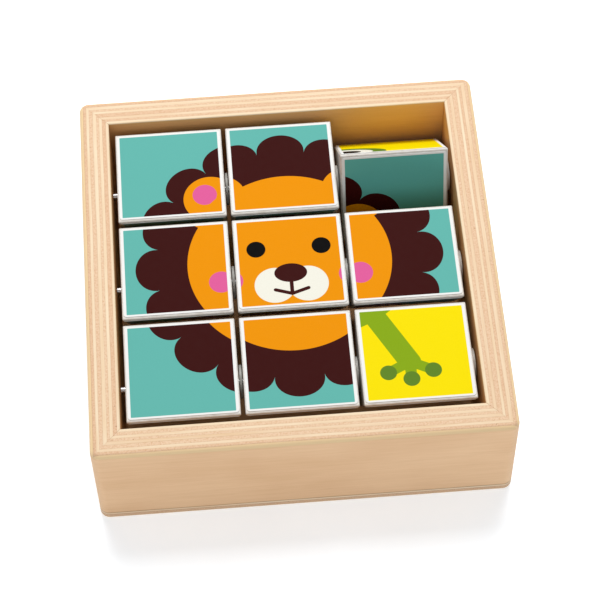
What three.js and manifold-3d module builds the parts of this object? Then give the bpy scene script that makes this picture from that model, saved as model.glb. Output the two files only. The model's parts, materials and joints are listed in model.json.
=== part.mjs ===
import * as THREE from "three";
import { mergeVertices } from "three/addons/utils/BufferGeometryUtils.js";
import Module from "manifold-3d";

const wasm = await Module();
wasm.setup();

// A turning block picture puzzle. Nine three-sided blocks turn on three steel rods inside a mitred
// plywood tray. +X runs to the right along the rods, +Y to the rear, +Z up. The origin is the centre of
// the tray's underside. All sizes are in millimetres and all angles in degrees.

// Tray
const WIDTH = 150;
const DEPTH = 154;
const HEIGHT = 46;
const WALL = 11;
const BASE = 4;
const CORNER_RADIUS = 3.5; // upright outer corners, seen from above
const RIM_RADIUS = 2; // outer edge of the rim
const FOOT_RADIUS = 0.8; // outer edge of the underside
const MITRE_GAP = 0.1; // glue line between two walls

// Blocks
const ROWS = ["rear", "middle", "front"];
const COLUMNS = ["left", "centre", "right"];
const FACES = [1, 2, 3];
const FACE_TURN = 360 / FACES.length;
const ROW_PITCH = 42.4;
const COLUMN_PITCH = 41.8;
const BLOCK_LENGTH = 40.2;
const BLOCK_INRADIUS = 11.8; // from the rod's centre line to a bare face
const BLOCK_EDGE_RADIUS = 0.7;
const BLOCK_END_EASING = 0.4;
const TURNED = { rear_right: 71, front_right: FACE_TURN }; // how far these blocks are turned at rest

// Labels
const LABEL_THICKNESS = 0.2;
const LABEL_GLUE = 0.05;
const LABEL_MARGIN = 0.1; // bare strip between the label and where the block's edge starts to round
const LABEL_CORNER_RADIUS = 1.2;

// Rods and spacers
const ROD_HEIGHT = 31.7;
const ROD_RADIUS = 1.25;
const ROD_END_EASING = 0.3;
const ROD_SEAT = 6; // how far the rod reaches into a wall
const SEAT_RADIUS = 1.35;
const SEAT_DEPTH = 6.3;
const BORE_RADIUS = 1.4;
const SPACER_RADIUS = 6.15;
const SPACER_THICKNESS = 1;
const SPACER_EASING = 0.15;

// How finely round shapes are cut
const CORNER_STEPS = 4;
const EDGE_STEPS = 3;
const ROUND_STEPS = 24;
const OVERRUN = 5; // how far a cutter passes the face that it cuts

const INNER_WIDTH = WIDTH - 2 * WALL;
const INNER_DEPTH = DEPTH - 2 * WALL;
const FLAT_WIDTH = 2 * Math.sqrt(3) * (BLOCK_INRADIUS - BLOCK_EDGE_RADIUS); // flat part of a block's face
const LABEL_LENGTH = BLOCK_LENGTH - 2 * (BLOCK_END_EASING + LABEL_MARGIN);
const LABEL_WIDTH = FLAT_WIDTH - 2 * LABEL_MARGIN;

const FINISHES = {
  plywood: new THREE.MeshStandardMaterial({ color: 0xdcb98e, roughness: 0.65, metalness: 0 }),
  base_plywood: new THREE.MeshStandardMaterial({ color: 0xd2ab7c, roughness: 0.7, metalness: 0 }),
  paint: new THREE.MeshStandardMaterial({ color: 0xf4f0ea, roughness: 0.45, metalness: 0 }),
  steel: new THREE.MeshStandardMaterial({ color: 0xb9bcc0, roughness: 0.3, metalness: 1 }),
  plastic: new THREE.MeshStandardMaterial({ color: 0xf2f2ee, roughness: 0.4, metalness: 0 }),
  prints: [0xf39c00, 0xffed00, 0x9fd4e4].map(
    (color) => new THREE.MeshStandardMaterial({ color, roughness: 0.25, metalness: 0 }),
  ),
};

/** Turns a closed geometry into a solid that can be joined and cut. */
function solidOf(geometry) {
  const bare = geometry.index ? geometry.toNonIndexed() : geometry.clone();
  bare.deleteAttribute("normal");
  bare.deleteAttribute("uv");
  const merged = mergeVertices(bare);
  return new wasm.Manifold(
    new wasm.Mesh({
      numProp: 3,
      vertProperties: new Float32Array(merged.attributes.position.array),
      triVerts: new Uint32Array(merged.index.array),
    }),
  );
}

/** Turns a solid back into a geometry. */
function geometryOf(solid) {
  const mesh = solid.getMesh();
  const geometry = new THREE.BufferGeometry();
  geometry.setAttribute("position", new THREE.BufferAttribute(new Float32Array(mesh.vertProperties), 3));
  geometry.setIndex(new THREE.BufferAttribute(new Uint32Array(mesh.triVerts), 1));
  const faceted = geometry.toNonIndexed();
  faceted.computeVertexNormals();
  return faceted;
}

/** Makes the sub-part's mesh. */
function piece(name, geometry, finish) {
  const mesh = new THREE.Mesh(geometry, finish);
  mesh.name = name;
  return mesh;
}

/** A convex outline, listed anticlockwise, with each corner rounded off to a radius. */
function roundedShape(corners, radius, steps) {
  const outline = [];
  corners.forEach((corner, i) => {
    const before = corners[(i + corners.length - 1) % corners.length];
    const after = corners[(i + 1) % corners.length];
    const inward = before.clone().sub(corner).normalize();
    const onward = after.clone().sub(corner).normalize();
    const halfAngle = inward.angleTo(onward) / 2;
    const middle = inward.clone().add(onward).normalize();
    const centre = corner.clone().addScaledVector(middle, radius / Math.sin(halfAngle));
    const sweep = Math.PI - 2 * halfAngle;
    const start = Math.atan2(-middle.y, -middle.x) - sweep / 2;
    for (let step = 0; step <= steps; step += 1) {
      const angle = start + (sweep * step) / steps;
      outline.push(centre.clone().add(new THREE.Vector2(Math.cos(angle), Math.sin(angle)).multiplyScalar(radius)));
    }
  });
  return new THREE.Shape(outline);
}

/** The corners of an upright rectangle around the origin. */
function rectangle(width, depth) {
  return [[-1, -1], [1, -1], [1, 1], [-1, 1]].map(
    ([x, y]) => new THREE.Vector2((x * width) / 2, (y * depth) / 2),
  );
}

/** Raises a shape from z = 0 to a height, with its top and bottom edges rounded over. */
function easedPrism(shape, height, easing, steps) {
  const geometry = new THREE.ExtrudeGeometry(shape, {
    depth: height - 2 * easing,
    bevelThickness: easing,
    bevelSize: easing,
    bevelOffset: -easing,
    bevelSegments: steps,
  });
  return geometry.translate(0, 0, easing);
}

/** Raises a shape from one height to another, with sharp edges. */
function prism(shape, low, high) {
  const geometry = new THREE.ExtrudeGeometry(shape, { depth: high - low, bevelEnabled: false });
  return geometry.translate(0, 0, low);
}

/** The tray's outside as one full block, with the rim's and the foot's edges rounded. */
function trayOutside() {
  const plan = roundedShape(rectangle(WIDTH, DEPTH), CORNER_RADIUS, CORNER_STEPS);
  const rimmed = easedPrism(plan, HEIGHT + OVERRUN, RIM_RADIUS, EDGE_STEPS).translate(0, 0, -OVERRUN);
  const footed = easedPrism(plan, HEIGHT + OVERRUN, FOOT_RADIUS, EDGE_STEPS);
  return solidOf(rimmed).intersect(solidOf(footed));
}

/** A cutter along X, centred on a rod, that opens one seat in a side wall. */
function seatCutter(side, y) {
  const length = SEAT_DEPTH + OVERRUN;
  const middle = side * (INNER_WIDTH / 2 + SEAT_DEPTH - length / 2);
  const geometry = new THREE.CylinderGeometry(SEAT_RADIUS, SEAT_RADIUS, length, ROUND_STEPS);
  return solidOf(geometry.rotateZ(Math.PI / 2).translate(middle, y, ROD_HEIGHT));
}

/** The block of space that one wall is cut from: its outer face is length long, mitred at both ends. */
function mitreWedge(length, depth, angle) {
  const half = length / 2;
  const inward = WALL + OVERRUN;
  const shift = MITRE_GAP / Math.SQRT2;
  const outline = [
    new THREE.Vector2(-half - OVERRUN + shift, -OVERRUN),
    new THREE.Vector2(half + OVERRUN - shift, -OVERRUN),
    new THREE.Vector2(half - inward - shift, inward),
    new THREE.Vector2(-half + inward + shift, inward),
  ];
  const wedge = prism(new THREE.Shape(outline), BASE, HEIGHT + OVERRUN);
  return solidOf(wedge.translate(0, -depth / 2, 0).rotateZ(angle));
}

/** The distance of a row's rod from the middle of the tray. */
function rowY(row) {
  return (1 - ROWS.indexOf(row)) * ROW_PITCH;
}

/** The distance of a column's blocks from the middle of the tray. */
function columnX(column) {
  return (COLUMNS.indexOf(column) - 1) * COLUMN_PITCH;
}

/** The four mitred walls and the panel under them. */
function tray() {
  const group = new THREE.Group();
  const outside = trayOutside();
  const wide = roundedShape(rectangle(WIDTH + 2 * OVERRUN, DEPTH + 2 * OVERRUN), OVERRUN, 1);
  const panel = outside.intersect(solidOf(prism(wide, -OVERRUN, BASE)));
  group.add(piece("base_panel", geometryOf(panel), FINISHES.base_plywood));

  const cavity = new THREE.BoxGeometry(INNER_WIDTH, INNER_DEPTH, 2 * HEIGHT).translate(0, 0, HEIGHT);
  const ring = outside.subtract(solidOf(cavity));
  const walls = [
    ["front_wall", WIDTH, DEPTH, 0, 0],
    ["right_wall", DEPTH, WIDTH, Math.PI / 2, 1],
    ["rear_wall", WIDTH, DEPTH, Math.PI, 0],
    ["left_wall", DEPTH, WIDTH, -Math.PI / 2, -1],
  ];
  for (const [name, length, depth, angle, side] of walls) {
    let wall = ring.intersect(mitreWedge(length, depth, angle));
    if (side !== 0) {
      for (const row of ROWS) wall = wall.subtract(seatCutter(side, rowY(row)));
    }
    group.add(piece(name, geometryOf(wall), FINISHES.plywood));
  }
  return group;
}

/** A rod along X with eased ends. */
function rodGeometry() {
  const half = INNER_WIDTH / 2 + ROD_SEAT;
  const profile = [
    [0, -half],
    [ROD_RADIUS - ROD_END_EASING, -half],
    [ROD_RADIUS, -half + ROD_END_EASING],
    [ROD_RADIUS, half - ROD_END_EASING],
    [ROD_RADIUS - ROD_END_EASING, half],
    [0, half],
  ].map(([radius, along]) => new THREE.Vector2(radius, along));
  return new THREE.LatheGeometry(profile, ROUND_STEPS).rotateZ(-Math.PI / 2);
}

/** A thin disc around X with a hole for the rod and eased rims. */
function spacerGeometry() {
  const half = SPACER_THICKNESS / 2;
  const profile = [
    [BORE_RADIUS, -half],
    [SPACER_RADIUS - SPACER_EASING, -half],
    [SPACER_RADIUS, -half + SPACER_EASING],
    [SPACER_RADIUS, half - SPACER_EASING],
    [SPACER_RADIUS - SPACER_EASING, half],
    [BORE_RADIUS, half],
    [BORE_RADIUS, -half],
  ].map(([radius, along]) => new THREE.Vector2(radius, along));
  return new THREE.LatheGeometry(profile, ROUND_STEPS).rotateZ(-Math.PI / 2);
}

/** Where a row's spacers sit: in the middle of each gap to the right of a block. */
function spacerPlaces() {
  const edge = (INNER_WIDTH / 2 + COLUMN_PITCH + BLOCK_LENGTH / 2) / 2;
  return [-COLUMN_PITCH / 2, COLUMN_PITCH / 2, edge];
}

/** A three-sided block around X, one face up, bored for its rod. */
function blockGeometry() {
  const reach = 2 * BLOCK_INRADIUS;
  const corners = FACES.map((_, i) => {
    const angle = THREE.MathUtils.degToRad(30 + FACE_TURN * i);
    return new THREE.Vector2(Math.cos(angle), Math.sin(angle)).multiplyScalar(reach);
  });
  const section = roundedShape(corners, BLOCK_EDGE_RADIUS, CORNER_STEPS);
  const standing = easedPrism(section, BLOCK_LENGTH, BLOCK_END_EASING, 1).translate(0, 0, -BLOCK_LENGTH / 2);
  const alongX = new THREE.Matrix4().makeBasis(
    new THREE.Vector3(0, 1, 0),
    new THREE.Vector3(0, 0, 1),
    new THREE.Vector3(1, 0, 0),
  );
  const bore = new THREE.CylinderGeometry(BORE_RADIUS, BORE_RADIUS, 2 * BLOCK_LENGTH, ROUND_STEPS);
  return geometryOf(solidOf(standing.applyMatrix4(alongX)).subtract(solidOf(bore.rotateZ(Math.PI / 2))));
}

/** A label as it lies on the upper face of a block. */
function labelGeometry() {
  const outline = roundedShape(rectangle(LABEL_LENGTH, LABEL_WIDTH), LABEL_CORNER_RADIUS, CORNER_STEPS);
  const underside = BLOCK_INRADIUS + LABEL_GLUE;
  return prism(outline, underside, underside + LABEL_THICKNESS);
}

/** One block with its three labels, turned as far as it is at rest. */
function labelledBlock(row, column, blockShape, labelShape) {
  const place = `${row}_${column}`;
  const group = new THREE.Group();
  group.position.set(columnX(column), rowY(row), ROD_HEIGHT);
  group.rotation.x = THREE.MathUtils.degToRad(TURNED[place] ?? 0);
  group.add(piece(`block_${place}`, blockShape, FINISHES.paint));
  for (const face of FACES) {
    const label = piece(`label_${place}_${face}`, labelShape, FINISHES.prints[face - 1]);
    label.rotation.x = -THREE.MathUtils.degToRad(FACE_TURN * (face - 1));
    group.add(label);
  }
  return group;
}

/** A rod with its spacers and its three blocks. */
function rowOfBlocks(row, shapes) {
  const group = new THREE.Group();
  const rod = piece(`axle_${row}`, shapes.rod, FINISHES.steel);
  rod.position.set(0, rowY(row), ROD_HEIGHT);
  group.add(rod);
  spacerPlaces().forEach((x, i) => {
    const spacer = piece(`spacer_${row}_${i + 1}`, shapes.spacer, FINISHES.plastic);
    spacer.position.set(x, rowY(row), ROD_HEIGHT);
    group.add(spacer);
  });
  for (const column of COLUMNS) group.add(labelledBlock(row, column, shapes.block, shapes.label));
  return group;
}

const group = new THREE.Group();
group.add(tray());
const shapes = {
  rod: rodGeometry(),
  spacer: spacerGeometry(),
  block: blockGeometry(),
  label: labelGeometry(),
};
for (const row of ROWS) group.add(rowOfBlocks(row, shapes));

export default group;
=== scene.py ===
"""The looks of a turning block picture puzzle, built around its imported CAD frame.

Nine three-sided blocks turn on three steel rods in a mitred plywood tray. Every visible piece is modelled
here at the place and size of its CAD node, in metres, and each carries a procedural finish. The pictures on
the labels are made of plain shapes, worked out in the shader from a map of each label's place in its picture.
"""

import json
import logging
import math
from collections.abc import Callable, Mapping, Sequence
from dataclasses import dataclass, field
from enum import Enum
from typing import Any

import bmesh
import bpy
from mathutils import Matrix, Vector


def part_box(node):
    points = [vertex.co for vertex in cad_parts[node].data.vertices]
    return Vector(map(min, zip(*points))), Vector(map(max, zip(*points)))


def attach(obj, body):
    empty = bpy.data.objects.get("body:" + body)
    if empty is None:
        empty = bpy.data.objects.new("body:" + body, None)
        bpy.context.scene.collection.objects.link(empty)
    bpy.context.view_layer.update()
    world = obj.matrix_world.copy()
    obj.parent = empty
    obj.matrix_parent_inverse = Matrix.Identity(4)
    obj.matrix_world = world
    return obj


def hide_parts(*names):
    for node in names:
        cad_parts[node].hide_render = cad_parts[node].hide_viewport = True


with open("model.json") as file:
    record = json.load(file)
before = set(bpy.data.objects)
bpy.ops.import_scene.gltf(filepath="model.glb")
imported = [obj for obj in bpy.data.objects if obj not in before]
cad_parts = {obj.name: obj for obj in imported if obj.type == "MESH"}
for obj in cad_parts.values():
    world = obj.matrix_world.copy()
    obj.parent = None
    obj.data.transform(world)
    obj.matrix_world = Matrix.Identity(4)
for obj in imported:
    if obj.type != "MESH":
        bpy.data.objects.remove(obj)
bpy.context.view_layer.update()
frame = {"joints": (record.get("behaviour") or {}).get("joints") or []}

log = logging.getLogger("puzzle")

MM = 0.001
ROWS = ("rear", "middle", "front")
COLUMNS = ("left", "centre", "right")
FACES = (1, 2, 3)
FACE_TURN = math.radians(120)
REST_TURN = {("rear", "right"): math.radians(71), ("front", "right"): FACE_TURN}
SMOOTH_ANGLE = math.radians(35)
NEAR = MM / 10  # how close to a level an edge's ends lie when they are taken to be at it
CLOSE = MM / 100  # the same, on small pieces
WHITEST = 0.8  # reflectance of the whitest paper, which the colours below are given against

Colour = tuple[float, float, float, float]


def srgb(red: int, green: int, blue: int) -> Colour:
    """Converts a display colour to the linear reflectance that shows it under the studio light.

    Args:
        red: Red, 0 to 255.
        green: Green, 0 to 255.
        blue: Blue, 0 to 255.

    Returns:
        The linear colour, with an alpha of 1.
    """
    linear = [
        v / 12.92 if v <= 0.04045 else ((v + 0.055) / 1.055) ** 2.4
        for v in (red / 255, green / 255, blue / 255)
    ]
    return (linear[0] * WHITEST, linear[1] * WHITEST, linear[2] * WHITEST, 1.0)


class Axis(Enum):
    """An axis of the frame."""

    X = 0
    Y = 1
    Z = 2

    @property
    def vector(self) -> Vector:
        """The unit vector along the axis."""
        return Vector([float(i == self.value) for i in range(3)])


class Ink(Enum):
    """The inks of the printed labels."""

    PAPER = srgb(250, 250, 248)
    TEAL = srgb(103, 187, 177)
    MANE = srgb(62, 16, 14)
    ORANGE = srgb(244, 152, 0)
    CREAM = srgb(248, 246, 232)
    BLACK = srgb(6, 5, 5)
    PINK = srgb(230, 98, 160)
    YELLOW = srgb(255, 232, 0)
    LEAF = srgb(140, 174, 24)
    MOSS = srgb(100, 137, 42)
    SKY = srgb(150, 205, 226)
    PLUM = srgb(112, 66, 110)
    LILAC = srgb(190, 150, 196)


# --------------------------------------------------------------------------------------------- shader tools


class Wire:
    """A shader socket that adds Math nodes when it is used in an expression."""

    def __init__(self, shader: "Shader", socket: bpy.types.NodeSocket) -> None:
        """Wraps a socket of a shader's node tree."""
        self.shader = shader
        self.socket = socket

    def __add__(self, other: "Wire | float") -> "Wire":
        """The sum."""
        return self.shader.maths("ADD", self, other)

    __radd__ = __add__

    def __sub__(self, other: "Wire | float") -> "Wire":
        """The difference."""
        return self.shader.maths("SUBTRACT", self, other)

    def __rsub__(self, other: float) -> "Wire":
        """The difference from a number."""
        return self.shader.maths("SUBTRACT", other, self)

    def __mul__(self, other: "Wire | float") -> "Wire":
        """The product."""
        return self.shader.maths("MULTIPLY", self, other)

    __rmul__ = __mul__

    def __abs__(self) -> "Wire":
        """The size without its sign."""
        return self.shader.maths("ABSOLUTE", self)


class Shader:
    """One procedural material while it is being wired."""

    def __init__(self, name: str) -> None:
        """Starts a material with an empty node tree.

        Args:
            name: The material's name.
        """
        self.material = bpy.data.materials.new(name)
        self.material.use_nodes = True
        self.tree = self.material.node_tree
        self.tree.nodes.clear()

    def add(
        self,
        kind: str,
        settings: Mapping[str, Any] | None = None,
        sockets: Mapping[str | int, Any] | None = None,
    ) -> bpy.types.Node:
        """Adds any node.

        Args:
            kind: The node's type.
            settings: Its properties, set first. "stops" gives a ramp's (place, colour) pairs.
            sockets: Values or wires for its inputs, by name or number.

        Returns:
            The new node.
        """
        node = self.tree.nodes.new(kind)
        for name, value in (settings or {}).items():
            if name == "stops":
                self._set_stops(node.color_ramp, value)
            else:
                setattr(node, name, value)
        for key, value in (sockets or {}).items():
            if isinstance(value, Wire):
                self.tree.links.new(value.socket, node.inputs[key])
            else:
                node.inputs[key].default_value = value
        return node

    @staticmethod
    def _set_stops(ramp: bpy.types.ColorRamp, stops: Sequence[tuple[float, Colour]]) -> None:
        """Gives a ramp its stops, in order from 0 to 1."""
        while len(ramp.elements) < len(stops):
            ramp.elements.new(1.0)
        for element, (place, colour) in zip(ramp.elements, stops, strict=True):
            element.position = place
            element.color = colour

    def maths(self, operation: str, *values: "Wire | float", clamp: bool = False) -> Wire:
        """Adds a Math node on one to three values."""
        settings = {"operation": operation, "use_clamp": clamp}
        return Wire(self, self.add("ShaderNodeMath", settings, dict(enumerate(values))).outputs[0])

    def vector(self, operation: str, *values: Any, output: str = "Vector") -> Wire:
        """Adds a Vector Math node. A number among the values is its scale."""
        sockets = {("Scale" if isinstance(v, float) else i): v for i, v in enumerate(values)}
        node = self.add("ShaderNodeVectorMath", {"operation": operation}, sockets)
        return Wire(self, node.outputs[output])

    def least(self, a: "Wire | float", b: "Wire | float") -> Wire:
        """The smaller of two values."""
        return self.maths("MINIMUM", a, b)

    def most(self, a: "Wire | float", b: "Wire | float") -> Wire:
        """The larger of two values."""
        return self.maths("MAXIMUM", a, b)

    def split(self, vector: Wire) -> tuple[Wire, Wire, Wire]:
        """A vector's three components."""
        node = self.add("ShaderNodeSeparateXYZ", sockets={0: vector})
        return tuple(Wire(self, output) for output in node.outputs)

    def join(self, x: "Wire | float", y: "Wire | float", z: "Wire | float") -> Wire:
        """A vector from three components."""
        return Wire(self, self.add("ShaderNodeCombineXYZ", sockets={0: x, 1: y, 2: z}).outputs[0])

    def blend(self, mask: "Wire | float", a: "Wire | Colour", b: "Wire | Colour", mode: str = "MIX") -> Wire:
        """Colour a where the mask is 0 and b, laid on in the given mode, where it is 1."""
        settings = {"data_type": "RGBA", "blend_type": mode}
        return Wire(self, self.add("ShaderNodeMix", settings, {0: mask, 6: a, 7: b}).outputs[2])

    def ramp(self, value: Wire, stops: Sequence[tuple[float, Colour]]) -> Wire:
        """A colour ramp."""
        return Wire(self, self.add("ShaderNodeValToRGB", {"stops": stops}, {0: value}).outputs[0])

    def noise(self, vector: Wire, scale: float, detail: float = 2.0, roughness: float = 0.5) -> Wire:
        """Smooth noise from 0 to 1."""
        sockets = {"Vector": vector, "Scale": scale, "Detail": detail, "Roughness": roughness}
        return Wire(self, self.add("ShaderNodeTexNoise", sockets=sockets).outputs["Fac"])

    def chance(self, value: Wire) -> Wire:
        """A random value from 0 to 1 for each whole number."""
        node = self.add("ShaderNodeTexWhiteNoise", {"noise_dimensions": "1D"}, {"W": value})
        return Wire(self, node.outputs["Value"])

    def place(self) -> Wire:
        """The point on the piece in millimetres of the row frame."""
        source = Wire(self, self.add("ShaderNodeTexCoord").outputs["Object"])
        return self.vector("SCALE", source, 1 / MM)

    def map(self, name: str) -> Wire:
        """The point on a UV map of the piece."""
        return Wire(self, self.add("ShaderNodeUVMap", {"uv_map": name}).outputs["UV"])

    def bump(self, height: Wire, depth: float) -> Wire:
        """A normal from a height of 0 to 1 over a depth in millimetres."""
        sockets = {"Strength": 1.0, "Distance": depth * MM, "Height": height}
        return Wire(self, self.add("ShaderNodeBump", sockets=sockets).outputs[0])

    def finish(self, **sockets: Any) -> bpy.types.Material:
        """Closes the material with one Principled surface.

        Args:
            sockets: The surface's inputs, with _ for each space in a name.

        Returns:
            The material.
        """
        named = {name.replace("_", " "): value for name, value in sockets.items()}
        surface = self.add("ShaderNodeBsdfPrincipled", sockets=named)
        output = self.add("ShaderNodeOutputMaterial")
        self.tree.links.new(surface.outputs[0], output.inputs["Surface"])
        return self.material


# ------------------------------------------------------------------------------------------------- finishes


@dataclass(frozen=True)
class Plywood:
    """Birch plywood: face veneer, and on its edges plies that lie lengthwise and crosswise by turns.

    Attributes:
        name: The material's name.
        run: The axis that the face veneer's grain runs along.
        stack: The axis that the plies are stacked along.
        outside: The outer face's place on the stack axis, in metres.
        thickness: The panel's signed thickness from its outer face inwards, in metres.
        plies: How many plies it has, an odd number.
        seam: The height of the glued joint between the walls and the base, in millimetres.
        unevenness: How much the plies differ in thickness, in millimetres.
        glue_width: The width of the glue lines between the plies, in millimetres.
        glue_strength: How dark they are, from 0 to 1.
        joint_strength: How dark the joint's own line is, from 0 to 1.
    """

    name: str
    run: Axis
    stack: Axis
    outside: float
    thickness: float
    plies: int
    seam: float
    unevenness: float = 1.2
    glue_width: float = 0.16
    glue_strength: float = 0.15
    joint_strength: float = 0.45
    long_light: Colour = srgb(253, 230, 196)
    long_dark: Colour = srgb(243, 210, 168)
    cross_light: Colour = srgb(243, 208, 172)
    cross_dark: Colour = srgb(226, 180, 140)
    pit: Colour = srgb(170, 118, 80)
    veneer_light: Colour = srgb(250, 208, 163)
    veneer_dark: Colour = srgb(236, 190, 143)
    glue: Colour = srgb(138, 84, 44)
    # Painted highlight for the outermost ply on the rim's rounding.
    outer_ply_painted_highlight: Colour = srgb(255, 222, 172)
    # Painted shade and painted yellow bounce, multiplied onto the walls' inner faces.
    painted_inner_bounce_shade: Colour = (1.0, 0.85, 0.6, 1.0)

    def _edges(self, s: Shader) -> Wire:
        """A mask of the surfaces that the plies' edges show on."""
        normal = Wire(s, s.add("ShaderNodeNewGeometry").outputs["Normal"])
        level = abs(s.split(normal)[Axis.Z.value])
        if self.stack is Axis.Z:
            return 1 - s.maths("MULTIPLY_ADD", level, 8.0, -4.0, clamp=True)
        return s.maths("MULTIPLY_ADD", level, 8.0, -2.0, clamp=True)

    def material(self) -> bpy.types.Material:
        """Wires the plywood."""
        s = Shader(self.name)
        place = s.place()
        parts = s.split(place)
        along = parts[self.run.value]
        other = next(parts[a.value] for a in Axis if a not in (self.run, self.stack))
        fibre_point = s.vector("MULTIPLY", place, tuple(0.04 if a is self.run else 1.0 for a in Axis))

        depth = (parts[self.stack.value] - self.outside / MM) * math.copysign(1.0, self.thickness)
        thickness = abs(self.thickness) / MM
        seed = self.outside * 71 + self.plies
        uneven = (s.noise(s.join(depth * 0.42, seed, 0.0), 1.0, 1.0) - 0.5) * self.unevenness
        waver = (s.noise(s.vector("SCALE", place, 0.02), 1.0, 1.0) - 0.5) * (self.unevenness * 0.4)
        share = (depth + uneven + waver) * (self.plies / thickness)
        share = s.most(s.least(share, self.plies - 0.5), 0.5)
        ply = s.maths("FLOOR", share)
        crosswise = s.maths("MODULO", ply, 2.0)
        to_glue = (0.5 - abs(share - ply - 0.5)) * (thickness / self.plies)
        glue_line = s.maths("MULTIPLY_ADD", to_glue, -2 / self.glue_width, 1.5, clamp=True)

        fibres = s.noise(fibre_point, 1.5, 5.0, 0.6)
        streaks = s.noise(s.join(along * 0.015, other * 0.5, ply), 1.0, 3.0, 0.5)
        pores = s.noise(place, 1.7, 4.0, 0.7)
        pits = s.maths("MULTIPLY_ADD", s.noise(place, 1.1, 1.0), 14.0, -10.4, clamp=True)
        lengthwise = s.ramp(fibres * 0.5 + streaks * 0.5, [(0.36, self.long_dark), (0.58, self.long_light)])
        endwise = s.ramp(pores, [(0.34, self.cross_dark), (0.56, self.cross_light)])
        endwise = s.blend(pits * 0.7, endwise, self.pit)
        tone = s.chance(ply + seed) * 0.2 + 0.85
        plies = s.blend(crosswise, lengthwise, endwise)
        plies = s.blend(1.0, plies, s.join(tone * 0.35 + 0.65, tone * 0.75 + 0.25, tone), "MULTIPLY")
        # Painted highlight: the outermost ply on the edges is painted a lighter cream. It stands in for light
        # caught along the rim's outer rounding.
        if self.stack is not Axis.Z:
            plies = s.blend(s.maths("LESS_THAN", ply, 0.5), plies, self.outer_ply_painted_highlight)
        plies = s.blend(glue_line * self.glue_strength, plies, self.glue)

        cloud_point = s.vector("MULTIPLY", place, tuple(0.4 if a is self.run else 1.0 for a in Axis))
        clouds = s.noise(cloud_point, 0.07, 2.0)
        veneer = s.ramp(fibres * 0.5 + clouds * 0.5, [(0.32, self.veneer_dark), (0.66, self.veneer_light)])
        fleck_point = s.vector("MULTIPLY", place, tuple(0.1 if a is self.run else 1.6 for a in Axis))
        flecks = s.noise(fleck_point, 1.4, 2.0)
        veneer = s.blend(s.maths("MULTIPLY_ADD", flecks, 9.0, -6.3, clamp=True) * 0.25, veneer, self.pit)

        # Painted light: the walls' inner faces are multiplied darker and yellower. This is painted shade
        # inside the tray, together with a painted yellow bounce from the labels.
        inner = s.maths("GREATER_THAN", depth, thickness / 2)
        veneer = s.blend(inner, veneer, self.painted_inner_bounce_shade, "MULTIPLY")
        edges = self._edges(s)
        wood = s.blend(edges, veneer, plies)
        joint = s.maths("MULTIPLY_ADD", abs(parts[Axis.Z.value] - self.seam), -4.0, 1.7, clamp=True)
        relief = s.blend(crosswise, fibres, pores - pits)
        return s.finish(
            Base_Color=s.blend(joint * self.joint_strength, wood, self.glue),
            Roughness=s.maths("MULTIPLY_ADD", fibres, 0.18, 0.5),
            Normal=s.bump(s.blend(edges, fibres * 0.5, relief - glue_line * 0.5), 0.04),
            Specular_IOR_Level=0.3,
        )


@dataclass(frozen=True)
class Steel:
    """Bright drawn rod, with fine marks along it."""

    name: str = "drawn_steel"
    colour: Colour = srgb(252, 252, 252)

    def material(self) -> bpy.types.Material:
        """Wires the steel."""
        s = Shader(self.name)
        drawn = s.noise(s.vector("MULTIPLY", s.place(), (0.06, 4.0, 4.0)), 1.5, 4.0)
        return s.finish(
            Base_Color=s.ramp(drawn, [(0.3, srgb(228, 229, 232)), (0.7, self.colour)]),
            Metallic=1.0,
            Roughness=drawn * 0.2 + 0.22,
            Normal=s.bump(drawn, 0.01),
        )


@dataclass(frozen=True)
class MouldedPlastic:
    """White moulded plastic with a faint matt skin."""

    name: str = "white_plastic"
    colour: Colour = srgb(238, 237, 231)

    def material(self) -> bpy.types.Material:
        """Wires the plastic."""
        s = Shader(self.name)
        place = s.place()
        cloud = s.noise(place, 0.3, 2.0)
        grain = s.noise(place, 9.0, 2.0)
        return s.finish(
            Base_Color=s.ramp(cloud, [(0.3, srgb(226, 224, 216)), (0.7, self.colour)]),
            Roughness=grain * 0.2 + 0.3,
            Normal=s.bump(grain, 0.01),
        )


@dataclass(frozen=True)
class BlockPaint:
    """White paint on wood, through which the grain along the block still shows a little."""

    name: str = "block_paint"
    colour: Colour = srgb(230, 225, 218)
    worn: Colour = srgb(206, 196, 184)

    def material(self) -> bpy.types.Material:
        """Wires the paint."""
        s = Shader(self.name)
        place = s.place()
        grain = s.noise(s.vector("MULTIPLY", place, (0.08, 1.0, 1.0)), 2.4, 4.0, 0.6)
        brush = s.noise(place, 0.5, 2.0)
        return s.finish(
            Base_Color=s.ramp(grain * 0.5 + brush * 0.5, [(0.3, self.worn), (0.55, self.colour)]),
            Roughness=brush * 0.2 + 0.34,
            Normal=s.bump(grain, 0.03),
        )


# ------------------------------------------------------------------------------------------------- pictures


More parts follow.
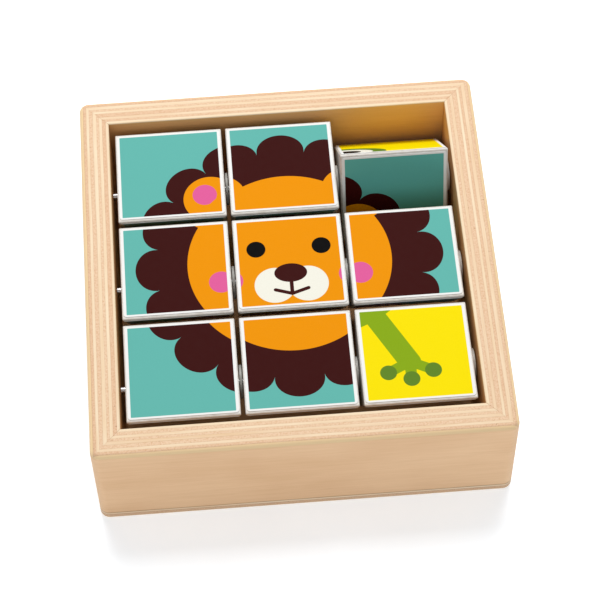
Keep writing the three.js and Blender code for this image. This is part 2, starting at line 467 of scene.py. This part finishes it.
class Page:
    """A picture while it is being printed: shapes in millimetres about its middle, +Y towards its top."""

    SOFTNESS = 0.07  # width of an ink's edge, in millimetres

    def __init__(self, shader: Shader, point: Wire, ground: Ink) -> None:
        """Starts a page.

        Args:
            shader: The material that the page is part of.
            point: The place on the page.
            ground: The ink of the background.
        """
        self.shader = shader
        x, y, _ = shader.split(point)
        self.y = y
        self.across = abs(x)
        self.point = point
        self.folded = shader.join(self.across, y, 0.0)
        self.colour: Wire | Colour = ground.value

    def ink(self, mask: Wire, ink: Ink) -> None:
        """Prints an ink over the page where the mask is 1."""
        self.colour = self.shader.blend(mask, self.colour, ink.value)

    def within(self, distance: Wire) -> Wire:
        """A mask from a distance to a shape's edge, less than 0 inside it."""
        return self.shader.maths("MULTIPLY_ADD", distance, -1 / self.SOFTNESS, 0.5, clamp=True)

    def disc(self, x: float, y: float, radius: float, paired: bool = False) -> Wire:
        """A round spot, or a pair of them to the left and right of the middle."""
        point = self.folded if paired else self.point
        away = self.shader.vector("DISTANCE", point, (x, y, 0.0), output="Value")
        return self.within(away - radius)

    def oval(self, x: float, y: float, wide: float, high: float, paired: bool = False) -> Wire:
        """An oval, or a pair of them, with its half width and half height."""
        s = self.shader
        offset = s.vector("SUBTRACT", self.folded if paired else self.point, (x, y, 0.0))
        scaled = s.vector("MULTIPLY", offset, (1 / wide, 1 / high, 0.0))
        return self.within((s.vector("LENGTH", scaled, output="Value") - 1) * min(wide, high))

    def stroke(
        self,
        start: tuple[float, float],
        end: tuple[float, float],
        half_width: float,
        paired: bool = False,
    ) -> Wire:
        """A round-ended line, or a pair of them to the left and right of the middle.

        Args:
            start: Where it starts.
            end: Where it ends.
            half_width: Half its width, in millimetres.
            paired: Whether there are two.

        Returns:
            The mask.
        """
        s = self.shader
        reach = Vector((end[0] - start[0], end[1] - start[1], 0.0))
        offset = s.vector("SUBTRACT", self.folded if paired else self.point, (*start, 0.0))
        share = s.vector("DOT_PRODUCT", offset, tuple(reach / reach.length_squared), output="Value")
        share = s.least(s.most(share, 0.0), 1.0)
        on_line = s.vector("MULTIPLY", s.join(share, share, 0.0), tuple(reach))
        away = s.vector("DISTANCE", offset, on_line, output="Value")
        return self.within(away - half_width)

    def scallops(self, notch: float, lobe: float, count: int) -> Wire:
        """A round with even lobes all the way round it.

        Args:
            notch: The radius at the notches between the lobes.
            lobe: How far the lobes stand out of them.
            count: How many lobes there are, an even number.

        Returns:
            The mask.
        """
        s = self.shader
        number = s.maths("ARCTAN2", self.across, self.y) * (count / math.tau)
        off_lobe = (number - s.maths("ROUND", number)) * 2
        height = s.maths("SQRT", s.most(1 - off_lobe * off_lobe, 0.0)) * lobe
        return self.within(s.vector("LENGTH", self.folded, output="Value") - height - notch)


class Picture:
    """A picture over all nine blocks."""

    name = ""
    ground = Ink.PAPER

    def draw(self, page: Page) -> None:
        """Prints the picture's shapes on the page."""
        raise NotImplementedError


class Lion(Picture):
    """A plain round lion's face in an even ring of mane."""

    name = "lion_print"
    ground = Ink.TEAL

    def draw(self, page: Page) -> None:
        """Prints the mane, the ears, the head and then what is on it."""
        page.ink(page.scallops(45.0, 8.0, 16), Ink.MANE)
        page.ink(page.disc(24.0, 26.0, 10.0, paired=True), Ink.ORANGE)
        page.ink(page.disc(26.0, 28.0, 4.5, paired=True), Ink.PINK)
        page.ink(page.disc(0.0, 0.0, 34.0), Ink.ORANGE)
        page.ink(page.disc(12.0, 6.0, 3.5, paired=True), Ink.BLACK)
        page.ink(page.disc(22.0, -7.0, 4.5, paired=True), Ink.PINK)
        page.ink(page.disc(6.0, -10.0, 7.5, paired=True), Ink.CREAM)
        page.ink(page.stroke((0.0, -6.0), (0.0, -14.0), 0.7), Ink.MANE)
        page.ink(page.stroke((0.0, -14.0), (6.0, -12.0), 0.7, paired=True), Ink.MANE)
        page.ink(page.oval(0.0, -5.0, 6.0, 4.0), Ink.MANE)


class Frog(Picture):
    """A plain frog's face, with two front feet under it."""

    name = "frog_print"
    ground = Ink.YELLOW

    def draw(self, page: Page) -> None:
        """Prints the feet, the eyes, the head and then what is on it."""
        page.ink(page.stroke((24.0, -20.0), (36.0, -42.0), 4.0, paired=True), Ink.LEAF)
        for x, y in ((28.0, -46.0), (36.0, -49.0), (44.0, -46.0)):
            page.ink(page.stroke((36.0, -42.0), (x, y), 2.0, paired=True), Ink.LEAF)
            page.ink(page.disc(x, y, 3.0, paired=True), Ink.MOSS)
        page.ink(page.disc(22.0, 24.0, 14.0, paired=True), Ink.MOSS)
        page.ink(page.oval(0.0, 0.0, 42.0, 30.0), Ink.LEAF)
        page.ink(page.disc(22.0, 24.0, 9.0, paired=True), Ink.CREAM)
        page.ink(page.disc(22.0, 24.0, 4.5, paired=True), Ink.BLACK)
        page.ink(page.disc(27.0, -4.0, 4.5, paired=True), Ink.PINK)
        smile = page.disc(0.0, 0.0, 20.0) * (1 - page.disc(0.0, 2.5, 20.0))
        page.ink(smile, Ink.MOSS)


class Owl(Picture):
    """A plain owl with folded wings."""

    name = "owl_print"
    ground = Ink.SKY

    def draw(self, page: Page) -> None:
        """Prints the feet, the body, the wings, the breast and the face."""
        page.ink(page.oval(8.0, -50.0, 5.0, 4.0, paired=True), Ink.ORANGE)
        page.ink(page.oval(0.0, -2.0, 34.0, 48.0), Ink.PLUM)
        page.ink(page.oval(30.0, -12.0, 8.0, 26.0, paired=True), Ink.LILAC)
        page.ink(page.oval(0.0, -26.0, 16.0, 18.0), Ink.LILAC)
        page.ink(page.disc(13.0, 16.0, 13.0, paired=True), Ink.CREAM)
        page.ink(page.disc(12.0, 16.0, 6.0, paired=True), Ink.BLACK)
        page.ink(page.oval(0.0, 4.0, 4.0, 6.0), Ink.ORANGE)
        for level in (-20.0, -27.0, -34.0):
            page.ink(page.oval(5.0, level, 3.5, 1.5, paired=True), Ink.PLUM)


@dataclass(frozen=True)
class Print:
    """Glossy printed paper: a white margin round the printed part of each label.

    Attributes:
        picture: The picture.
        width: The printed part's width, in millimetres.
        height: The printed part's height, in millimetres.
        corner: The radius of its corners, in millimetres.
        mottling: How much the inks' depth varies, as a share.
        roughness: How rough the paper is where it is smoothest.
    """

    picture: Picture
    width: float
    height: float
    corner: float = 0.25
    mottling: float = 0.1
    roughness: float = 0.4

    def material(self) -> bpy.types.Material:
        """Wires the print."""
        s = Shader(self.picture.name)
        page = Page(s, s.map("picture"), self.picture.ground)
        self.picture.draw(page)
        tile = s.map("tile")
        speck = s.noise(tile, 2.2, 3.0, 0.6)
        mottle = speck * self.mottling + (1 - self.mottling / 2)
        mottled = s.blend(1.0, page.colour, s.join(mottle, mottle, mottle), "MULTIPLY")
        square = (self.width / 2 - self.corner, self.height / 2 - self.corner, 0.0)
        past = s.vector("MAXIMUM", s.vector("SUBTRACT", s.vector("ABSOLUTE", tile), square), (0.0, 0.0, 0.0))
        outside = s.vector("LENGTH", past, output="Value")
        printed = page.within(outside - self.corner)
        colour = s.blend(printed, Ink.PAPER.value, mottled)
        film = s.noise(tile, 0.35, 2.0)
        return s.finish(
            Base_Color=colour,
            Roughness=film * 0.12 + self.roughness,
            Normal=s.bump(speck * 0.3 + printed * 0.7, 0.008),
            Specular_IOR_Level=0.02,
        )


# ---------------------------------------------------------------------------------------------- modelling


class Bench:
    """Models one piece at a time with Blender's own operators."""

    @staticmethod
    def _name(name: str) -> bpy.types.Object:
        """Names the new piece and puts its place, turn and size into its mesh."""
        bpy.ops.object.transform_apply(location=True, rotation=True, scale=True)
        piece = bpy.context.active_object
        piece.name = name
        piece.data.name = name
        return piece

    @classmethod
    def box(cls, name: str, low: Vector, high: Vector) -> bpy.types.Object:
        """Adds a box between two corners."""
        bpy.ops.object.select_all(action="DESELECT")
        bpy.ops.mesh.primitive_cube_add(size=1.0, location=(low + high) / 2, scale=high - low)
        return cls._name(name)

    @classmethod
    def bar(cls, name: str, radius: float, low: Vector, high: Vector, sides: int) -> bpy.types.Object:
        """Adds a bar along X.

        Args:
            name: Its name.
            radius: The distance from its middle line to its corners, in metres.
            low: The middle of its left end.
            high: The middle of its right end.
            sides: How many sides it has.

        Returns:
            The bar.
        """
        bpy.ops.object.select_all(action="DESELECT")
        bpy.ops.mesh.primitive_cylinder_add(
            vertices=sides,
            radius=radius,
            depth=(high - low).length,
            location=(low + high) / 2,
            rotation=(0.0, math.radians(90), 0.0),
        )
        return cls._name(name)

    @staticmethod
    def copy(piece: bpy.types.Object, name: str) -> bpy.types.Object:
        """Copies a piece with a mesh of its own."""
        twin = piece.copy()
        twin.data = piece.data.copy()
        twin.name = name
        twin.data.name = name
        bpy.context.scene.collection.objects.link(twin)
        return twin

    @staticmethod
    def work_on(piece: bpy.types.Object) -> None:
        """Makes a piece the only selected one, and active."""
        bpy.ops.object.select_all(action="DESELECT")
        piece.select_set(True)
        bpy.context.view_layer.objects.active = piece

    @classmethod
    def bevel(
        cls,
        piece: bpy.types.Object,
        wanted: Callable[[Vector, Vector], bool],
        size: float,
        steps: int,
    ) -> None:
        """Bevels some of a piece's edges.

        Args:
            piece: The piece.
            wanted: Says from its two ends whether an edge is bevelled.
            size: The bevel's offset, in metres.
            steps: How many segments it has.
        """
        cls.work_on(piece)
        bpy.ops.object.mode_set(mode="EDIT")
        bpy.ops.mesh.select_mode(type="EDGE")
        bpy.ops.mesh.select_all(action="DESELECT")
        mesh = bmesh.from_edit_mesh(piece.data)
        for edge in mesh.edges:
            edge.select_set(wanted(edge.verts[0].co, edge.verts[1].co))
        bmesh.update_edit_mesh(piece.data)
        bpy.ops.mesh.bevel(offset=size, segments=steps, affect="EDGES", clamp_overlap=True)
        bpy.ops.object.mode_set(mode="OBJECT")

    @classmethod
    def slice(cls, piece: bpy.types.Object, point: Vector, away: Vector) -> None:
        """Cuts off what lies beyond a plane, on the side that away points to, and closes the cut."""
        cls.work_on(piece)
        bpy.ops.object.mode_set(mode="EDIT")
        bpy.ops.mesh.select_all(action="SELECT")
        bpy.ops.mesh.bisect(plane_co=point, plane_no=away, use_fill=True, clear_outer=True)
        bpy.ops.object.mode_set(mode="OBJECT")

    @classmethod
    def cut(cls, piece: bpy.types.Object, cutter: bpy.types.Object) -> None:
        """Cuts a piece with another, which is used up."""
        modifier = piece.modifiers.new("cut", "BOOLEAN")
        modifier.operation = "DIFFERENCE"
        modifier.solver = "EXACT"
        modifier.object = cutter
        cls.work_on(piece)
        bpy.ops.object.modifier_apply(modifier=modifier.name)
        bpy.data.objects.remove(cutter)

    @classmethod
    def smooth(cls, piece: bpy.types.Object) -> None:
        """Shades a piece smoothly over its rounded edges."""
        cls.work_on(piece)
        bpy.ops.object.shade_smooth_by_angle(angle=SMOOTH_ANGLE)
        modifier = piece.modifiers.new("flat_faces_first", "WEIGHTED_NORMAL")
        modifier.keep_sharp = True
        bpy.ops.object.modifier_apply(modifier=modifier.name)

    @classmethod
    def turn_to(cls, piece: bpy.types.Object, turn: float, middle: Vector) -> None:
        """Turns a piece about X through the origin, then moves it, all in its mesh."""
        cls.work_on(piece)
        piece.rotation_euler = (turn, 0.0, 0.0)
        piece.location = middle
        bpy.ops.object.transform_apply(location=True, rotation=True, scale=True)


def dress(
    piece: bpy.types.Object, material: bpy.types.Material, body: str, slot: str, *nodes: str
) -> bpy.types.Object:
    """Gives a finished piece its material and its body, and hides the CAD nodes that it stands for.

    Args:
        piece: The piece.
        material: Its finish.
        body: The CAD body that it rides on.
        slot: The record's material slot. Not used.
        nodes: The CAD nodes that it replaces.

    Returns:
        The piece.
    """
    piece.data.materials.clear()
    piece.data.materials.append(material)
    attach(piece, body)
    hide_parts(*nodes)
    log.info("%s: %d faces, on %s", piece.name, len(piece.data.polygons), body)
    return piece


# --------------------------------------------------------------------------------------------- sub-assemblies


@dataclass
class Tray:
    """The mitred plywood walls and the panel under them."""

    corner_radius: float = 3.5 * MM
    rim_radius: float = 2.0 * MM
    foot_radius: float = 0.8 * MM
    inner_easing: float = 0.5 * MM
    joint_easing: float = 0.15 * MM
    mitre_gap: float = 0.1 * MM
    seat_radius: float = 1.35 * MM
    seat_depth: float = 6.3 * MM
    wall_plies: int = 9
    base_plies: int = 3
    low: Vector = field(default_factory=lambda: Vector(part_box("base_panel")[0]))
    high: Vector = field(
        default_factory=lambda: Vector((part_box("right_wall")[1].x, *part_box("rear_wall")[1][1:]))
    )
    floor: float = field(default_factory=lambda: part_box("base_panel")[1].z)
    wall: float = field(default_factory=lambda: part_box("front_wall")[1].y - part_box("front_wall")[0].y)

    def _outside(self, name: str, low: float, high: float) -> bpy.types.Object:
        """A block of the tray's outline between two heights, with rounded upright corners."""
        corners = (Vector((self.low.x, self.low.y, low)), Vector((self.high.x, self.high.y, high)))
        block = Bench.box(name, *corners)
        Bench.bevel(block, lambda a, b: abs(a.z - b.z) > high - low - NEAR, self.corner_radius, 8)
        return block

    def _wall(self, name: str, out: Vector) -> bpy.types.Object:
        """Models one wall.

        Args:
            name: The wall's CAD node.
            out: The direction that its outer face points in.

        Returns:
            The wall, mitred at both ends.
        """
        top = self.high.z
        wall = self._outside(name, self.floor, top)
        Bench.bevel(wall, lambda a, b: min(a.z, b.z) > top - NEAR, self.rim_radius, 6)
        Bench.bevel(wall, lambda a, b: max(a.z, b.z) < self.floor + NEAR, self.joint_easing, 2)
        half = Vector((self.high.x, self.high.y, 0.0))
        inner = abs(out.dot(half)) - self.wall
        Bench.slice(wall, out * inner, -out)
        side = Vector((-out.y, out.x, 0.0))
        for end in (-1, 1):
            corner = out * abs(out.dot(half)) + side * end * abs(side.dot(half))
            away = (side * end - out).normalized()
            Bench.slice(wall, corner - away * self.mitre_gap / 2, away)

        def inner_top(a: Vector, b: Vector) -> bool:
            """Says whether an edge lies along the top of the wall's inner face."""
            return all(abs(p.dot(out) - inner) < NEAR / 2 and p.z > top - NEAR / 2 for p in (a, b))

        Bench.bevel(wall, inner_top, self.inner_easing, 3)
        return wall

    def _seats(self, wall: bpy.types.Object, out: Vector) -> None:
        """Opens a side wall's blind seats for the rods."""
        inner = abs(out.x * self.high.x) - self.wall
        for row in ROWS:
            low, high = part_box(f"axle_{row}")
            middle = (low + high) / 2
            mouth = Vector((out.x * (inner - 2 * MM), middle.y, middle.z))
            bottom = Vector((out.x * (inner + self.seat_depth), middle.y, middle.z))
            Bench.cut(wall, Bench.bar("seat_cutter", self.seat_radius, mouth, bottom, 32))

    def build(self) -> None:
        """Models and dresses the tray."""
        walls = {
            "front_wall": (-Axis.Y.vector, Axis.X, Axis.Y),
            "rear_wall": (Axis.Y.vector, Axis.X, Axis.Y),
            "left_wall": (-Axis.X.vector, Axis.Y, Axis.X),
            "right_wall": (Axis.X.vector, Axis.Y, Axis.X),
        }
        for name, (out, run, stack) in walls.items():
            wall = self._wall(f"{name}_ply", out)
            if stack is Axis.X:
                self._seats(wall, out)
            Bench.smooth(wall)
            face = max(self.high.x, 0.0) if stack is Axis.X else self.high.y
            sign = 1.0 if out.x + out.y > 0 else -1.0
            sizes = (face * sign, -self.wall * sign, self.wall_plies, self.floor / MM)
            ply = Plywood(f"birch_{name}", run, stack, *sizes)
            dress(wall, ply.material(), "tray", "wall_plywood", name)
        base = self._outside("base_panel_ply", self.low.z, self.floor)
        Bench.bevel(base, lambda a, b: max(a.z, b.z) < NEAR, self.foot_radius, 4)
        Bench.bevel(base, lambda a, b: min(a.z, b.z) > self.floor - NEAR, self.joint_easing, 2)
        Bench.smooth(base)
        thickness = self.floor - self.low.z
        sizes = (self.low.z, thickness, self.base_plies, self.floor / MM)
        glue = {"unevenness": 0.25, "glue_width": 0.35, "glue_strength": 0.55}
        ply = Plywood("birch_base", Axis.X, Axis.Z, *sizes, **glue)
        dress(base, ply.material(), "tray", "base_plywood", "base_panel")


@dataclass
class Rods:
    """The steel rods and the spacers on them."""

    rod_easing: float = 0.3 * MM
    spacer_easing: float = 0.15 * MM
    bore_radius: float = 1.4 * MM

    def _rod(self, row: str) -> bpy.types.Object:
        """Models one rod."""
        low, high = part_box(f"axle_{row}")
        middle, half = (low + high) / 2, (high - low) / 2
        reach = Axis.X.vector * half.x
        rod = Bench.bar(f"rod_{row}", half.y, middle - reach, middle + reach, 48)
        Bench.bevel(rod, lambda a, b: abs(a.x - b.x) < CLOSE, self.rod_easing, 3)
        Bench.smooth(rod)
        return rod

    def _spacer(self, row: str, number: int) -> bpy.types.Object:
        """Models one spacer."""
        low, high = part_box(f"spacer_{row}_{number}")
        middle, half = (low + high) / 2, (high - low) / 2
        reach = Axis.X.vector * half.x
        disc = Bench.bar(f"spacer_disc_{row}_{number}", half.y, middle - reach, middle + reach, 64)
        Bench.bevel(disc, lambda a, b: abs(a.x - b.x) < CLOSE, self.spacer_easing, 3)
        hole = Bench.bar("hole_cutter", self.bore_radius, middle - reach * 4, middle + reach * 4, 32)
        Bench.cut(disc, hole)
        Bench.smooth(disc)
        return disc

    def build(self) -> None:
        """Models and dresses the rods and spacers."""
        steel = Steel().material()
        plastic = MouldedPlastic().material()
        for row in ROWS:
            dress(self._rod(row), steel, "tray", "rod_steel", f"axle_{row}")
            for number in range(1, len(COLUMNS) + 1):
                name = f"spacer_{row}_{number}"
                dress(self._spacer(row, number), plastic, "tray", "spacer_plastic", name)


@dataclass
class Blocks:
    """The nine turning blocks and their labels."""

    edge_radius: float = 0.7 * MM
    end_easing: float = 0.4 * MM
    bore_radius: float = 1.4 * MM
    inradius: float = 11.8 * MM
    label_glue: float = 0.05 * MM
    label_thickness: float = 0.2 * MM
    label_corner: float = 1.2 * MM
    label_easing: float = 0.05 * MM
    printed_width: float = 37.0 * MM
    printed_height: float = 36.7 * MM
    print_pitch: float = 38.4 * MM

    def _block(self, length: float) -> bpy.types.Object:
        """Models a block about the origin, one face up, its bore along X."""
        half = Axis.X.vector * length / 2
        block = Bench.bar("block_pattern", 2 * self.inradius, -half, half, 3)
        Bench.turn_to(block, math.radians(-90), Vector())
        Bench.bevel(block, lambda a, b: abs(a.x - b.x) > length / 2, self.edge_radius * math.sqrt(3), 5)
        Bench.bevel(block, lambda a, b: abs(a.x - b.x) < CLOSE, self.end_easing, 3)
        Bench.cut(block, Bench.bar("bore_cutter", self.bore_radius, -half * 2, half * 2, 32))
        Bench.smooth(block)
        return block

    def _label(self, size: Vector) -> bpy.types.Object:
        """Models a label as it lies on the upper face of a block about the origin."""
        low = Vector((-size.x / 2, -size.y / 2, self.inradius + self.label_glue))
        high = Vector((size.x / 2, size.y / 2, low.z + self.label_thickness))
        label = Bench.box("label_pattern", low, high)
        Bench.bevel(label, lambda a, b: abs(a.z - b.z) > self.label_thickness / 2, self.label_corner, 6)
        Bench.bevel(label, lambda a, b: min(a.z, b.z) > high.z - CLOSE, self.label_easing, 2)
        Bench.smooth(label)
        return label

    def _map(self, label: bpy.types.Object, row: str, column: str) -> None:
        """Maps a flat label, in millimetres: its own middle on one map, and its picture's on the other."""
        across = (COLUMNS.index(column) - 1) * self.print_pitch
        up = (1 - ROWS.index(row)) * self.print_pitch
        mesh = label.data
        for name, (right, top) in {"tile": (0.0, 0.0), "picture": (across, up)}.items():
            layer = mesh.uv_layers.new(name=name)
            for loop in mesh.loops:
                point = mesh.vertices[loop.vertex_index].co
                layer.data[loop.index].uv = ((point.x + right) / MM, (point.y + top) / MM)

    def build(self) -> None:
        """Models and dresses the blocks and labels."""
        low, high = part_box("block_middle_centre")
        label_low, label_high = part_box("label_middle_centre_1")
        size = label_high - label_low
        pattern = self._block(high.x - low.x)
        label_pattern = self._label(size)
        paint = BlockPaint().material()
        printed = (self.printed_width / MM, self.printed_height / MM)
        prints = [Print(picture, *printed).material() for picture in (Lion(), Frog(), Owl())]
        pivots = {joint["child"]: Vector(joint["pos_m"]) for joint in frame["joints"]}
        for row in ROWS:
            for column in COLUMNS:
                place = f"{row}_{column}"
                body = f"{place}_block"
                turn = REST_TURN.get((row, column), 0.0)
                block = Bench.copy(pattern, f"prism_{place}")
                Bench.turn_to(block, turn, pivots[body])
                dress(block, paint, body, "block_paint", f"block_{place}")
                for face, finish, slot in zip(FACES, prints, ("first", "second", "third"), strict=True):
                    label = Bench.copy(label_pattern, f"print_{place}_{face}")
                    self._map(label, row, column)
                    Bench.turn_to(label, turn - FACE_TURN * (face - 1), pivots[body])
                    dress(label, finish, body, f"print_{slot}", f"label_{place}_{face}")
        bpy.data.objects.remove(pattern)
        bpy.data.objects.remove(label_pattern)


@dataclass
class Studio:
    """The floor, the lights and the camera."""

    target: Vector = field(default_factory=lambda: Vector((3.24, -4.1, 23.0)) * MM)
    azimuth: float = math.radians(3.42)
    elevation: float = math.radians(57.97)
    roll: float = math.radians(-1.14)
    distance: float = 825.3 * MM
    lens: float = 132.9
    floor_size: float = 6.0
    floor_light: Colour = (0.9, 0.94, 0.98, 1.0)
    floor_dark: Colour = (0.86, 0.89, 0.92, 1.0)
    floor_glow: float = 0.4
    sky: float = 0.36
    lights: tuple[tuple[str, tuple[float, float, float], float, float], ...] = (
        ("key", (0.05, 0.75, 1.2), 0.9, 19.6),
        ("fill", (-0.2, -1.1, 0.95), 1.2, 5.0),
    )

    def _camera(self) -> None:
        """Places the camera."""
        level = math.cos(self.elevation)
        across = (math.sin(self.azimuth) * level, math.cos(self.azimuth) * level)
        view = Vector((*across, -math.sin(self.elevation)))
        data = bpy.data.cameras.new("camera")
        data.lens = self.lens
        data.sensor_width = 36.0
        camera = bpy.data.objects.new("camera", data)
        turn = view.to_track_quat("-Z", "Y").to_matrix().to_4x4() @ Matrix.Rotation(self.roll, 4, "Z")
        camera.matrix_world = Matrix.Translation(self.target - view * self.distance) @ turn
        bpy.context.scene.collection.objects.link(camera)
        bpy.context.scene.camera = camera

    def _floor(self) -> None:
        """Lays a pale floor."""
        bpy.ops.object.select_all(action="DESELECT")
        bpy.ops.mesh.primitive_plane_add(size=self.floor_size)
        floor = bpy.context.active_object
        floor.name = "studio_floor"
        s = Shader("pale_floor")
        cloud = s.noise(s.place(), 0.02, 2.0)
        shade = s.ramp(cloud, [(0.3, self.floor_dark), (0.7, self.floor_light)])
        glow = {"Emission_Color": self.floor_light, "Emission_Strength": self.floor_glow}
        floor.data.materials.append(s.finish(Base_Color=shade, Roughness=0.8, **glow))

    def _lights(self) -> None:
        """Lights the room evenly, with a large soft light high behind and a weaker one in front."""
        world = bpy.data.worlds.new("studio")
        world.use_nodes = True
        world.node_tree.nodes["Background"].inputs["Color"].default_value = (1.0, 1.0, 1.0, 1.0)
        world.node_tree.nodes["Background"].inputs["Strength"].default_value = self.sky
        bpy.context.scene.world = world
        for name, place, size, power in self.lights:
            data = bpy.data.lights.new(name, "AREA")
            data.shape = "SQUARE"
            data.size = size
            data.energy = power
            light = bpy.data.objects.new(name, data)
            aim = (self.target - Vector(place)).to_track_quat("-Z", "Y")
            light.matrix_world = Matrix.Translation(place) @ aim.to_matrix().to_4x4()
            bpy.context.scene.collection.objects.link(light)

    def build(self) -> None:
        """Sets the studio up."""
        bpy.context.scene.view_settings.view_transform = "Standard"
        self._camera()
        self._floor()
        self._lights()


def main() -> None:
    """Builds the puzzle and its studio."""
    logging.basicConfig(level=logging.INFO, format="%(message)s")
    Studio().build()
    Tray().build()
    Rods().build()
    Blocks().build()


if __name__ == "__main__":
    main()
